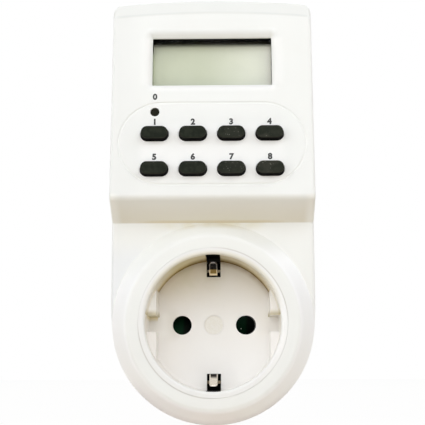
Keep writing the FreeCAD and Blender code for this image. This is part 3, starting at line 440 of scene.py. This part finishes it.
class SocketFinish(PlacedFinish):
    """The masks and layers of the socket.

    inside is 1 in the recess and 0 on the rim's face, deep is 1 below the ledges' tops, and wall is 1 on the
    recess's round wall.
    """

    def __init__(self, name, **constants):
        super().__init__(name, **constants)
        self.inside = self.out.fade(RIM_FACE, RIM_FACE - 0.0006)
        self.deep = self.out.fade(LEDGE_TOP - 0.0004, LEDGE_TOP - 0.0008)
        self.wall = self.reach.above(RECESS_RADIUS - 0.0002)
        self.left = self.across.fade(0.004, -0.004)
        self.drift = self.noise(70, 4).fade(0.3, 0.75)

    def shaded_left(self, tone):
        """The socket a little darker to the left."""
        dim = (0.945, 0.912, 0.865)
        return self.colour(self.across.fade(-0.002, -0.016) * 0.8, tone, dim)

    def dust(self, tone):
        """Scattered specks of dust, in patches."""
        specks = self.specks(300, 0.045, (0.3, 0.1, 0.7)) * self.noise(120, 1).fade(0.5, 0.6)
        brown = (0.30, 0.24, 0.16)
        return self.colour(specks * 0.6, tone, brown)

    def stained_floor(self, tone):
        """A blotchy brown veil over the upper left, partly stain and partly painted shade, and a grey stain
        beside the left pin hole.
        """
        blotch = self.noise(130, 3, 0.6).fade(0.35, 0.65)
        brown, olive, grey = (0.60, 0.46, 0.18), (0.53, 0.47, 0.15), (0.45, 0.40, 0.22)
        # The veil is partly stain and partly painted shade from the rim
        veil = self.up.fade(0.002, RECESS_RADIUS) * self.inside * (blotch * 0.08 + 0.31)
        veil = veil * (1 - self.across.fade(-0.003, 0.006) * 0.85)
        tone = self.colour(veil, tone, self.colour(blotch, brown, olive))
        beside_hole = length(self.across + 0.0131, self.up).fade(0.0060, 0.001)
        return self.colour(beside_hole * 0.26, tone, grey)

    def yellowed_wall(self, tone):
        """The round wall painted yellow at its top as painted shade, with a smoky patch, and brown down by
        the floor, partly grime and partly painted shade.
        """
        # Painted shade on the downward-facing upper wall
        painted_shade_yellow = self.up.fade(-0.008, 0.004) * 0.2 + self.up.fade(0.007, 0.016) * 0.35
        painted_shade_yellow = painted_shade_yellow * self.wall * self.out.fade(RIM_FACE + 0.0002, RIM_FACE - 0.0032)
        painted_shade_yellow = painted_shade_yellow * (1 - self.across.fade(-0.010, -0.014) * 0.4)
        shade_yellow, smoke, brown = (0.57, 0.46, 0.13), (0.14, 0.075, 0.01), (0.62, 0.42, 0.0)
        tone = self.colour(painted_shade_yellow, tone, shade_yellow)
        patch = self.across.band(0, 0.004, 0.006, 0.011) * self.up.above(0) * self.wall
        tone = self.colour(patch * self.out.fade(RIM_FACE, RIM_FACE - 0.005) * 0.17, tone, smoke)
        browned = self.out.fade(RECESS_FLOOR + 0.010, RECESS_FLOOR + 0.002) * self.wall
        return self.colour(browned * self.up.fade(0, 0.010) * 0.4, tone, brown)

    def grimy_corner(self, tone):
        """Grime and painted shade where the wall meets the floor, thickest at the top and to the right."""
        patchy = self.noise(260, 4, 0.6).fade(0.25, 0.7) * 0.4 + 0.6
        rightward = self.across.fade(-0.009, 0.004)
        on_floor = self.reach.fade(RECESS_RADIUS - 0.0021, RECESS_RADIUS)
        on_floor = on_floor * self.out.fade(RECESS_FLOOR + 0.0004, RECESS_FLOOR) * 0.65 * (rightward + 0.45)
        on_wall = self.out.fade(RECESS_FLOOR + 0.0045, RECESS_FLOOR) * self.wall
        grime, smoke, soot = (0.26, 0.14, 0.0), (0.14, 0.075, 0.01), (0.12, 0.07, 0.02)
        # Partly grime, partly painted shade in the corner
        grime_and_shade = on_floor.most(on_wall) * self.up.fade(0, RECESS_RADIUS) * patchy
        tone = self.colour(grime_and_shade * 0.75, tone, grime)
        smoky = self.out.fade(RECESS_FLOOR + 0.010, RECESS_FLOOR + 0.0025) * self.wall
        smoky = smoky * self.up.fade(0.014, 0.0185) * self.across.fade(-0.012, -0.003)
        tone = self.colour(smoky * 0.5, tone, smoke)
        corner = self.reach.fade(RECESS_RADIUS - 0.0004, RECESS_RADIUS - 0.0001)
        corner = corner * self.out.fade(RECESS_FLOOR + 0.0004, RECESS_FLOOR + 0.0001)
        corner = corner * self.up.fade(-0.001, 0.008) * patchy * (rightward * 0.6 + 0.4)
        return self.colour(corner * 0.5, tone, soot)

    def centre_mark(self, tone):
        """The pivot's round head, a little darker than the floor, with a thin line on its upper left."""
        mottle = self.noise(3000, 2).fade(0.35, 0.65) * 0.16 + 0.24
        disc = self.reach.fade(MARK_RADIUS + 0.0001, MARK_RADIUS - 0.0001) * self.deep
        darker, line = (0.80, 0.76, 0.62), (0.34, 0.26, 0.12)
        tone = self.colour(disc * mottle, tone, darker)
        edge = self.reach.near(MARK_RADIUS, 0.0001, 0.0003) * self.deep
        upper_left = self.towards(-1, 1).fade(-0.004, 0.003)
        return self.colour(edge * upper_left * 0.14, tone, line)

    def ledges(self, tone):
        """The ledges and the gaps between them: pockets and ledge tops painted paler as painted light, and
        painted shade in the gaps and along the edges.
        """
        beyond = self.side.above(LEDGE_X - 0.0003)
        pocket = self.side.fade(0.011, 0.0155) * self.up.size().fade(0.0055, LEDGE_GAP - 0.0002) * self.deep
        streak = self.up.band(0.0009, 0.0022, LEDGE_GAP, LEDGE_GAP + 0.0001) * self.deep * self.left
        top = (1 - self.deep) * self.inside * (1 - self.wall) * beyond
        top = top * self.up.above(LEDGE_GAP + 0.0002) * self.left
        under = self.up.near(LEDGE_GAP, 0.00004, 0.00008) * beyond * self.deep
        foot = self.up.above(LEDGE_GAP) * self.up.fade(LEDGE_GAP + 0.0020, LEDGE_GAP + 0.0001)
        # cream and pale are painted light; straw, umber and olive are painted shade
        cream, straw, pale = (1.0, 0.975, 0.93), (0.97, 0.88, 0.64), (1.0, 0.985, 0.95)
        umber, olive = (0.38, 0.31, 0.12), (0.42, 0.34, 0.10)
        tone = self.colour(pocket, tone, cream)
        tone = self.colour(streak * self.side.above(LEDGE_X + 0.0002), tone, straw)
        tone = self.colour(top, tone, pale)
        tone = self.colour(under * (self.left * 0.25 + 0.3), tone, umber)
        return self.colour(foot * beyond * self.inside * 0.62, tone, olive)

    def rim(self, tone):
        """The rim's face as pale as the case, with painted light paler to the right, and painted shade on the
        lip at its top.
        """
        face = self.colour(self.drift, (0.915, 0.912, 0.888), (0.90, 0.897, 0.866))
        paler, painted_shade_yellow = (0.985, 0.985, 0.96), (0.850, 0.822, 0.725)
        face = self.colour(self.across.fade(0.012, 0.0205), face, paler)
        # Painted shade on the lip at its top
        lip = self.reach.fade(RECESS_RADIUS + 0.0016, RECESS_RADIUS + 0.0003) * self.up.fade(0.002, 0.012)
        return self.colour(self.inside, self.colour(lip, face, painted_shade_yellow), tone)

    def black_edges(self, tone):
        """The burnt right edge of the right pin hole, and the earth slots' walls painted black as painted
        shade.
        """
        from_pin = length(self.across - (PIN_X + 0.0003), self.up)
        burnt, black = (0.010, 0.010, 0.009), (0.012, 0.010, 0.007)
        tone = self.colour(from_pin.fade(0.00288, 0.00284) * self.deep, tone, burnt)
        # Painted shade: the slot walls painted black
        slot_shade = self.side.fade(SLOT_HALF_WIDTH + 0.0001, SLOT_HALF_WIDTH)
        slot_shade = slot_shade * self.up.size().above(SLOT_REACH - 0.00005)
        slot_shade = slot_shade * self.out.fade(SLOT_TOP + 0.0001, SLOT_TOP)
        return self.colour(slot_shade, tone, black)


def socket_plastic():
    """Slightly warmer and glossier plastic, with stains, grime, painted shade and painted light in the
    recess.
    """
    finish = SocketFinish("socket_plastic", IOR=1.5, Specular_IOR_Level=0.25)
    tone = finish.colour(finish.drift, (1.0, 0.985, 0.955), (0.985, 0.965, 0.93))
    layers = (
        finish.shaded_left, finish.dust, finish.stained_floor, finish.yellowed_wall, finish.grimy_corner,
        finish.centre_mark, finish.ledges, finish.rim, finish.seam_line, finish.black_edges)
    for layer in layers:
        tone = layer(tone)
    finish.complete(tone, finish.noise(120, 4) * 0.12 + 0.30, finish.grain(2000), 0.000004)
    return finish


def shutter_plastic():
    """Dark green plastic, painted black to the right in each pin hole as painted shade, with one pale speck.
    """
    finish = PlacedFinish("shutter_plastic", Specular_IOR_Level=0.1)
    fine = finish.grain()
    green = finish.colour(fine, (0.001, 0.022, 0.008), (0.001, 0.015, 0.005))
    from_hole = finish.across - (finish.across.above(0) * 2 - 1) * PIN_X
    speck = length(finish.across - 0.00826, finish.up + 0.0009).fade(0.00020, 0.00012)
    black, pale = (0.0006, 0.0020, 0.0009), (0.50, 0.60, 0.50)
    # Painted shade to the right in each pin hole
    tone = finish.colour(from_hole.fade(-0.0004, 0.0010), green, black)
    finish.complete(finish.colour(speck, tone, pale), fine * 0.1 + 0.5, fine, 0.000006)
    return finish


def key_rubber():
    """Charcoal rubber: matt mould grain, sides painted near-black as painted shade, a painted highlight along
    the top edge, a film and pale specks of dust on top.
    """
    finish = PlacedFinish("key_rubber", Specular_IOR_Level=0.03)
    rise, across = finish.rise, finish.across
    on_top = rise.above(KEY_RISE - 0.0002)
    mottle = finish.noise(700, 4).fade(0.35, 0.7)
    painted_light_tone, black, film_tone = (0.055, 0.054, 0.040), (0.0010, 0.0008, 0.0005), (0.07, 0.068, 0.055)
    sunk, speck_tone = (0.019, 0.019, 0.012), (0.45, 0.45, 0.38)
    tone = finish.colour(mottle, (0.016, 0.0195, 0.0138), (0.027, 0.0305, 0.022))
    # Painted highlight along the top edge
    tone = finish.colour(rise.fade(KEY_RISE - 0.00002, KEY_RISE - 0.00012) * 0.9, tone, painted_light_tone)
    # Painted shade: the sides near-black
    tone = finish.colour(rise.fade(KEY_RISE - 0.00028, KEY_RISE - 0.00022), black, tone)
    dustiest = across.fade(-0.002, 0.010) * finish.along.fade(0.016, 0.009)
    settled = (finish.noise(110, 2) + dustiest * 0.12).fade(0.50, 0.62) * on_top
    film = settled.most(0.25) * across.fade(-0.006, 0.020) * on_top
    tone = finish.colour(film * 0.4, tone, film_tone)
    tone = finish.colour(rise.fade(-0.0001, -0.0002), tone, sunk)
    specks = finish.specks(1500, 0.14, (0.2, 0.5, 0.1)) * settled * across.fade(-0.012, 0.008)
    tone = finish.colour(specks * 0.7, tone, speck_tone)
    finish.complete(tone, mottle * 0.14 + 0.50, finish.grain(3000), 0.00001)
    return finish


def display_glass():
    """Blank display: grey-green reflector, paler to the right, with painted light at both ends and a painted
    shadow under the window's top edge.
    """
    finish = PlacedFinish("display_glass", IOR=1.5)
    across = finish.across
    cloud = finish.noise(60, 3).fade(0.3, 0.7)
    paler, shadow_tone = (0.957, 0.98, 0.83), (0.04, 0.039, 0.026)
    lit_left_end, lit_right_end = (0.76, 0.80, 0.61), (1.0, 1.0, 0.86)
    tone = finish.colour(cloud, (0.695, 0.735, 0.548), (0.66, 0.70, 0.52))
    tone = finish.colour(across.fade(-0.005, 0.019) * 0.9, tone, paler)
    # Painted light at both ends
    ends = finish.side.fade(WINDOW_HALF_WIDTH - 0.0032, WINDOW_HALF_WIDTH - 0.0004)
    tone = finish.colour(ends * 0.9, tone, finish.colour(across.above(0), lit_left_end, lit_right_end))
    # Painted shadow under the window's top edge
    shadow = finish.along.fade(WINDOW_HIGH - 0.0015, WINDOW_HIGH + 0.0001)
    tone = finish.colour(shadow, tone, shadow_tone)
    finish.complete(tone, cloud * 0.08 + 0.34, finish.noise(4000, 1), 0.000003)
    return finish


def frame_plastic():
    """Black holder, greyer down by the display, its left wall scuffed pale."""
    finish = PlacedFinish("frame_plastic", Specular_IOR_Level=0.0)
    fine = finish.grain()
    grey, scuff = (0.024, 0.023, 0.014), (0.50, 0.54, 0.40)
    tone = finish.colour(fine, (0.0035, 0.0032, 0.0028), (0.0025, 0.0024, 0.0024))
    tone = finish.colour(finish.rise.fade(-0.0034, -0.0052), tone, grey)
    scuffed = finish.across.fade(0.0004 - WINDOW_HALF_WIDTH, 0.0002 - WINDOW_HALF_WIDTH)
    scuffed = scuffed * finish.along.fade(WINDOW_HIGH - 0.002, WINDOW_HIGH - 0.005)
    finish.complete(finish.colour(scuffed, tone, scuff), finish.noise(160, 4) * 0.12 + 0.74, fine, 0.000006)
    return finish


def lens_plastic():
    """Clear window with a faint haze."""
    finish = Finish("lens_plastic", IOR=1.49)
    haze = finish.noise(200, 3).fade(0.4, 0.8)
    finish.complete(finish.colour(haze, (0.03, 0.03, 0.028), (0.06, 0.06, 0.056)), 0.05)
    finish.set("Alpha", haze * 0.02 + 0.03)
    return finish


def board_laminate():
    """Green board with copper tracks under its mask."""
    finish = Finish("board_laminate", IOR=1.5)
    cells = finish.node("ShaderNodeTexVoronoi", {"feature": "DISTANCE_TO_EDGE", "distance": "MANHATTAN"},
                        {"Vector": finish.place, "Scale": 260})
    track = cells.fade(0.06, 0.10)
    weave = finish.noise(1400, 2, 0.5, (1, 1, 3))
    mask = finish.colour(weave, (0.03, 0.20, 0.09), (0.04, 0.25, 0.11))
    over_track = (0.07, 0.33, 0.15)
    finish.complete(finish.colour(track, over_track, mask), weave * 0.15 + 0.30, track, 0.00002)
    return finish


def print_ink():
    """Black ink, worn a little grey."""
    finish = Finish("print_ink", IOR=1.45)
    worn = finish.noise(2200, 3).fade(0.35, 0.75)
    finish.complete(finish.colour(worn, (0.015, 0.016, 0.014), (0.05, 0.05, 0.046)), worn * 0.2 + 0.45)
    return finish


def moulded(name, colour, deep, roughness, grain=0.000006, **constants):
    """Moulded plastic or rubber: slow drift of tone, a fine grain and uneven gloss."""
    finish = Finish(name, **constants)
    drift = finish.noise(45, 3).fade(0.3, 0.7)
    fine = finish.grain()
    tone = finish.colour(drift * 0.7 + fine * 0.3, colour, deep)
    finish.complete(tone, finish.noise(160, 4) * 0.12 + (roughness - 0.06), fine, grain)
    return finish


class MetalFinish(PlacedFinish):
    """Plated metal with drawn lines, small stains and uneven polish."""

    def __init__(self, name, stretch):
        super().__init__(name, Metallic=1.0)
        self.lines = self.noise(900, 3, 0.6, stretch)
        self.stain = self.noise(220, 4).fade(0.45, 0.75)

    def stained(self, clean, worn):
        return self.colour(self.stain, clean, worn)

    def polish(self, tone, roughness):
        uneven = self.lines * 0.16 + self.stain * 0.08 + (roughness - 0.08)
        self.complete(tone, uneven, self.lines, 0.000006)


def plated(name, clean, worn, roughness, stretch=(1, 1, 1)):
    """Plated metal of one tone, with a duller one in its small stains."""
    finish = MetalFinish(name, stretch)
    finish.polish(finish.stained(clean, worn), roughness)
    return finish


def earth_metal():
    """Plated spring strip: the upper clip brassy with a tip darkened as painted shade, the lower one bright
    with a bend darkened as painted shade; painted highlights along the edges, and the strip darker where it
    passes the floor, partly grime and partly painted shade.
    """
    finish = MetalFinish("earth_metal", (0.1, 1, 1))
    out, upper = finish.out, finish.up.above(0)
    bright_and_highlight = finish.stained((0.97, 0.925, 0.87), (0.91, 0.85, 0.77))
    brass = finish.stained((0.26, 0.17, 0.05), (0.18, 0.11, 0.03))
    burnt = finish.stained((0.005, 0.0035, 0.0025), (0.010, 0.006, 0.004))
    tan = finish.stained((0.86, 0.72, 0.48), (0.78, 0.63, 0.40))
    dull = finish.stained((0.19, 0.17, 0.155), (0.15, 0.13, 0.115))
    # burnt on the clips' faces is painted shade
    upper_face = finish.colour(out.fade(CLIP_MIDDLE - 0.0003, CLIP_MIDDLE), brass, burnt)
    upper_face = finish.colour(out.fade(CLIP_BULGE + 0.0012, CLIP_BULGE + 0.0004), upper_face, tan)
    lower_face = finish.colour(out.fade(CLIP_BULGE + 0.0009, CLIP_BULGE + 0.0026), burnt, bright_and_highlight)
    face = finish.colour(upper, lower_face, upper_face)
    upper_edge = finish.colour(out.fade(CLIP_MIDDLE + 0.0002, CLIP_MIDDLE - 0.0006), dull, tan)
    past_side = (finish.side - (CLIP_HALF_WIDTH - CLIP_TIP_RADIUS)).most(0)
    past_tip = (out - (CLIP_TIP - CLIP_TIP_RADIUS)).most(0)
    from_corner = length(past_side, past_tip) - CLIP_TIP_RADIUS
    # Painted highlight along the edges
    edge = from_corner.fade(-CLIP_EDGE - 0.0001, -CLIP_EDGE + 0.0001)
    face = finish.colour(edge, face, finish.colour(upper, bright_and_highlight, upper_edge))
    # The cut edges: painted light on the lower clip, painted shade on the upper one
    cut = finish.colour(upper, (0.72, 0.67, 0.60), (0.12, 0.105, 0.095))
    face = finish.colour(from_corner.fade(-0.00006, -0.00002), face, cut)
    clean = finish.stained((0.34, 0.28, 0.19), (0.27, 0.215, 0.14))
    # Partly grime, partly painted shade where the strip passes the floor
    grime_and_shade = finish.stained((0.09, 0.06, 0.02), (0.055, 0.036, 0.013))
    strip = finish.colour(out.above(RECESS_FLOOR - FLOOR_THICKNESS), clean, grime_and_shade)
    finish.polish(finish.colour(out.above(CLIP_BULGE - 0.0006), strip, face), 0.26)
    return finish


# The finish of each material slot: its own, or a plain moulded or plated one
OWN_FINISHES = {
    "case_plastic": case_plastic,
    "socket_plastic": socket_plastic,
    "key_rubber": key_rubber,
    "display_glass": display_glass,
    "lens_plastic": lens_plastic,
    "board_laminate": board_laminate,
    "shutter_plastic": shutter_plastic,
    "frame_plastic": frame_plastic,
    "earth_metal": earth_metal,
}
MOULDED = {
    "carrier_plastic": {"colour": (0.007, 0.006, 0.005), "deep": (0.005, 0.004, 0.004), "roughness": 0.7,
                        "Specular_IOR_Level": 0.1},
    "mat_rubber": {"colour": (0.16, 0.16, 0.155), "deep": (0.12, 0.12, 0.12), "roughness": 0.65,
                   "grain": 0.00001},
    "strip_rubber": {"colour": (0.60, 0.42, 0.42), "deep": (0.52, 0.36, 0.36), "roughness": 0.6},
    "relay_plastic": {"colour": (0.020, 0.075, 0.26), "deep": (0.016, 0.060, 0.22), "roughness": 0.35},
    "film_plastic": {"colour": (0.62, 0.36, 0.03), "deep": (0.54, 0.30, 0.025), "roughness": 0.35},
    "can_sleeve": {"colour": (0.010, 0.014, 0.035), "deep": (0.008, 0.010, 0.028), "roughness": 0.3},
    "disc_coating": {"colour": (0.02, 0.10, 0.30), "deep": (0.016, 0.08, 0.25), "roughness": 0.3,
                     "grain": 0.00002},
    "diode_body": {"colour": (0.018, 0.018, 0.018), "deep": (0.013, 0.013, 0.013), "roughness": 0.5},
    "resistor_body": {"colour": (0.50, 0.36, 0.18), "deep": (0.44, 0.31, 0.15), "roughness": 0.35},
    "ribbon_plastic": {"colour": (0.30, 0.31, 0.33), "deep": (0.25, 0.26, 0.28), "roughness": 0.5},
    "header_plastic": {"colour": (0.72, 0.69, 0.58), "deep": (0.66, 0.63, 0.52), "roughness": 0.45},
    "chip_resin": {"colour": (0.010, 0.010, 0.011), "deep": (0.007, 0.007, 0.008), "roughness": 0.4,
                   "grain": 0.00003},
}
PLATED = {
    "pin_metal": {"clean": (0.72, 0.71, 0.68), "worn": (0.62, 0.60, 0.56), "roughness": 0.24,
                  "stretch": (1, 0.05, 1)},
    "contact_metal": {"clean": (0.72, 0.52, 0.24), "worn": (0.55, 0.38, 0.16), "roughness": 0.30,
                      "stretch": (1, 0.1, 1)},
    "spring_steel": {"clean": (0.58, 0.58, 0.57), "worn": (0.46, 0.45, 0.43), "roughness": 0.28},
    "cell_steel": {"clean": (0.66, 0.66, 0.65), "worn": (0.55, 0.54, 0.52), "roughness": 0.22},
    "screw_steel": {"clean": (0.60, 0.60, 0.57), "worn": (0.45, 0.43, 0.38), "roughness": 0.32},
}


def dress_case():
    """Gives every carried-over node the finish of its material slot."""
    made = {slot: make() for slot, make in OWN_FINISHES.items()}
    made.update({slot: moulded(slot, **look) for slot, look in MOULDED.items()})
    made.update({slot: plated(slot, **look) for slot, look in PLATED.items()})
    for part in record["subparts"]:
        mesh = nodes[part["node"]].data
        mesh.materials.clear()
        mesh.materials.append(made[part["material_slot"]].material)


def clear_selection():
    """Deselects all, as an operator acts on everything that is selected."""
    bpy.ops.object.select_all(action="DESELECT")


def head_place(across, up):
    """Turns a flat thing drawn on the floor onto the head's face, at a place on it."""
    cos, sin = math.cos(HEAD_TILT), math.sin(HEAD_TILT)
    turn = Matrix(((1, 0, 0), (0, sin, -cos), (0, cos, sin))).to_4x4()
    return Matrix.Translation(HEAD_FOOT) @ turn @ Matrix.Translation((across, up, 0))


def print_number(value, across, up, ink):
    """Prints one number, centred at a place on the head's face."""
    clear_selection()
    bpy.ops.object.text_add(location=(0, 0, 0))
    text = bpy.context.object
    text.name = "number_%d" % value
    text.data.body = str(value)
    text.data.size = FONT_SIZE
    text.data.align_x = "CENTER"
    text.data.align_y = "CENTER"
    text.data.resolution_u = CURVE_STEPS
    text.data.offset = STROKE_WIDENING
    text.data.extrude = PRINT_THICKNESS
    bpy.ops.object.convert(target="MESH")
    number = bpy.context.object
    number.data.name = number.name
    number.matrix_world = head_place(across, up)
    bpy.ops.object.transform_apply(location=True, rotation=True, scale=True)
    number.data.materials.clear()
    number.data.materials.append(ink)
    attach(number, "case")


def print_numbers():
    """1 to 8 over the keys, and 0 over the reset hole."""
    ink = print_ink().material
    for row, row_up in enumerate(KEY_ROWS):
        for column in range(KEY_COLUMNS):
            across = (column - (KEY_COLUMNS - 1) / 2) * KEY_PITCH
            print_number(row * KEY_COLUMNS + column + 1, across, row_up + NUMBER_RISE, ink)
    print_number(0, RESET_X, RESET_NUMBER_UP, ink)


def add_floor():
    """A matt floor just under the case, which keeps its shadow and otherwise shows white."""
    clear_selection()
    bpy.ops.mesh.primitive_plane_add(size=FLOOR_SIZE, location=(0, 0, case_low.z - FLOOR_GAP))
    floor = bpy.context.object
    floor.name = "floor"
    bpy.ops.object.transform_apply(location=True)
    finish = Finish("floor", Base_Color=FLOOR_TONE, Roughness=0.8)
    glow = finish.node("ShaderNodeEmission", inputs={"Color": WHITE})
    share = finish.ray("Camera") * 0.98 + finish.ray("Glossy") * 0.5
    finish.show("Material Output", finish.surface, glow, share)
    floor.data.materials.append(finish.material)


def light_sky():
    """A dim sky, which shows white to the camera, in reflections and through clear pieces."""
    world = bpy.data.worlds.new("studio")
    world.use_nodes = True
    bpy.context.scene.world = world
    sky = Shading(world.node_tree)
    dim = sky.tree.nodes["Background"]
    sky.feed(dim.inputs["Color"], SKY_TONE)
    sky.feed(dim.inputs["Strength"], SKY_LEVEL)
    white = sky.node("ShaderNodeBackground", inputs={"Color": WHITE, "Strength": 1})
    share = sky.ray("Camera").most(sky.ray("Glossy")).most(sky.ray("Transmission"))
    sky.show("World Output", dim, white, share)


def add_lamp(name, place, power):
    """A square soft lamp turned to the case."""
    lamp = bpy.data.lights.new(name, "AREA")
    lamp.shape = "SQUARE"
    lamp.size = LAMP_SIZE
    lamp.energy = power
    lamp.color = LAMP_TONE
    holder = bpy.data.objects.new(name, lamp)
    holder.location = place
    towards = LAMP_AIM - Vector(place)
    holder.rotation_euler = towards.to_track_quat("-Z", "Y").to_euler()
    bpy.context.scene.collection.objects.link(holder)


def add_camera():
    """The photograph's own view, in front of the socket and a little below its axis."""
    camera = bpy.data.cameras.new("camera")
    camera.sensor_width = CAMERA_SENSOR
    camera.lens = CAMERA_LENS
    camera.clip_start = 0.01
    camera.clip_end = 20
    holder = bpy.data.objects.new("camera", camera)
    turn = CAMERA_AIM.to_track_quat("-Z", "Y").to_matrix().to_4x4()
    roll = Matrix.Rotation(CAMERA_ROLL, 4, "Z")
    holder.matrix_world = Matrix.Translation(CAMERA_PLACE) @ turn @ roll
    bpy.context.scene.collection.objects.link(holder)
    bpy.context.scene.camera = holder


dress_case()
print_numbers()
add_floor()
light_sky()
for lamp_name, (lamp_place, lamp_power) in LAMPS.items():
    add_lamp(lamp_name, lamp_place, lamp_power)
add_camera()
bpy.context.scene.view_settings.view_transform = "Standard"
